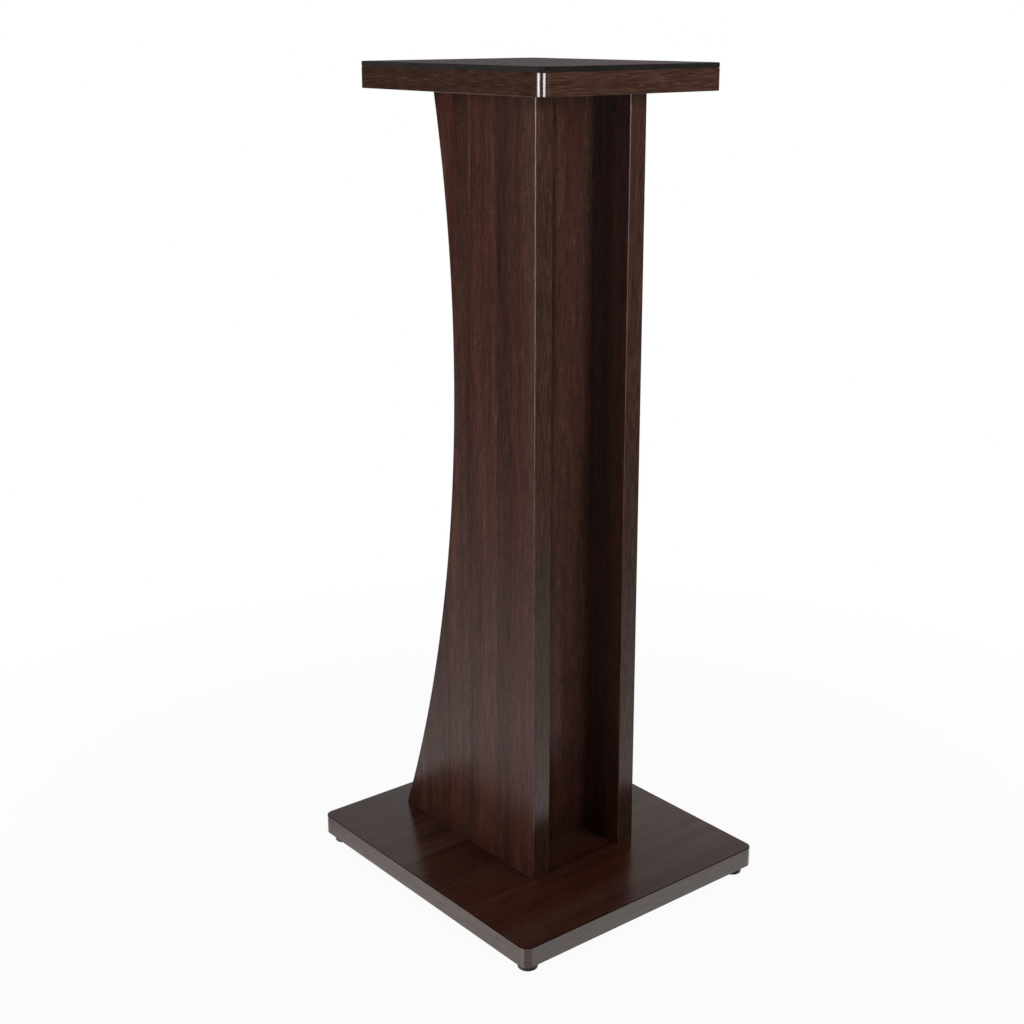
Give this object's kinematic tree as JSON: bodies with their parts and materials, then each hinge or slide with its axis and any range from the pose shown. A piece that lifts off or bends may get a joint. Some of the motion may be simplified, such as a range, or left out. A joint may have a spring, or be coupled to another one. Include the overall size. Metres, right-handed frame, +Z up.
{
  "type": "speaker stand",
  "caption": "Floor stand for a loudspeaker: footed base plate, H-shaped column with curved rear edges, padded top plate.",
  "frame": {"origin": "on the floor, under the middle of the base plate", "axes": "+X to the right along the front, +Y to the rear, +Z up"},
  "size_m": [0.342, 0.382, 0.914],
  "materials": {
    "laminated_board": "dark walnut paper laminate on particle board, satin",
    "edge_band": "walnut printed edge band, satin",
    "foam_rubber_pad": "dense black foam rubber, matt",
    "zinc_casting": "die-cast zinc, as cast",
    "cap_plastic": "dark brown moulded plastic",
    "zinc_plated_steel": "zinc plated",
    "dowel_wood": "plain beech",
    "foot_plastic": "black moulded plastic"
  },
  "bodies": {
    "stand": {"base_board": "laminated_board", "top_board": "laminated_board", "web_panel": "laminated_board", "left_side_panel": "laminated_board", "right_side_panel": "laminated_board", "base_edge_band": "edge_band", "top_edge_band": "edge_band", "left_front_edge_band": "edge_band", "right_front_edge_band": "edge_band", "left_rear_edge_band": "edge_band", "right_rear_edge_band": "edge_band", "top_pad": "foam_rubber_pad", "top_cam_housings": "zinc_casting", "web_cam_housings": "zinc_casting", "top_cover_caps": "cap_plastic", "web_cover_caps": "cap_plastic", "top_cam_bolts": "zinc_plated_steel", "web_cam_bolts": "zinc_plated_steel", "top_dowels": "dowel_wood", "base_dowels": "dowel_wood", "web_dowels": "dowel_wood", "base_screws": "zinc_plated_steel", "foot_inserts": "zinc_plated_steel"},
    "front_left_foot": {"front_left_foot": "foot_plastic"},
    "front_left_stud": {"front_left_stud": "zinc_plated_steel"},
    "front_right_foot": {"front_right_foot": "foot_plastic"},
    "front_right_stud": {"front_right_stud": "zinc_plated_steel"},
    "rear_left_foot": {"rear_left_foot": "foot_plastic"},
    "rear_left_stud": {"rear_left_stud": "zinc_plated_steel"},
    "rear_right_foot": {"rear_right_foot": "foot_plastic"},
    "rear_right_stud": {"rear_right_stud": "zinc_plated_steel"}
  },
  "joints": [
    {"name": "front_left_level", "type": "slide", "parent": "stand", "child": "front_left_foot", "axis": [0, 0, -1], "range_m": [0, 0.01]},
    {"name": "front_left_turn", "type": "hinge", "parent": "front_left_foot", "child": "front_left_stud", "pos_m": [-0.154, -0.174, 0.007], "axis": [0, 0, -1], "range_deg": [0, 3601]},
    {"name": "front_right_level", "type": "slide", "parent": "stand", "child": "front_right_foot", "axis": [0, 0, -1], "range_m": [0, 0.01]},
    {"name": "front_right_turn", "type": "hinge", "parent": "front_right_foot", "child": "front_right_stud", "pos_m": [0.154, -0.174, 0.007], "axis": [0, 0, -1], "range_deg": [0, 3601]},
    {"name": "rear_left_level", "type": "slide", "parent": "stand", "child": "rear_left_foot", "axis": [0, 0, -1], "range_m": [0, 0.01]},
    {"name": "rear_left_turn", "type": "hinge", "parent": "rear_left_foot", "child": "rear_left_stud", "pos_m": [-0.154, 0.174, 0.007], "axis": [0, 0, -1], "range_deg": [0, 3601]},
    {"name": "rear_right_level", "type": "slide", "parent": "stand", "child": "rear_right_foot", "axis": [0, 0, -1], "range_m": [0, 0.01]},
    {"name": "rear_right_turn", "type": "hinge", "parent": "rear_right_foot", "child": "rear_right_stud", "pos_m": [0.154, 0.174, 0.007], "axis": [0, 0, -1], "range_deg": [0, 3601]}
  ],
  "couplings": [
    {"joint": "front_left_turn", "follows": "front_left_level", "rad_per_m": 6283.2},
    {"joint": "front_right_turn", "follows": "front_right_level", "rad_per_m": 6283.2},
    {"joint": "rear_left_turn", "follows": "rear_left_level", "rad_per_m": 6283.2},
    {"joint": "rear_right_turn", "follows": "rear_right_level", "rad_per_m": 6283.2}
  ]
}
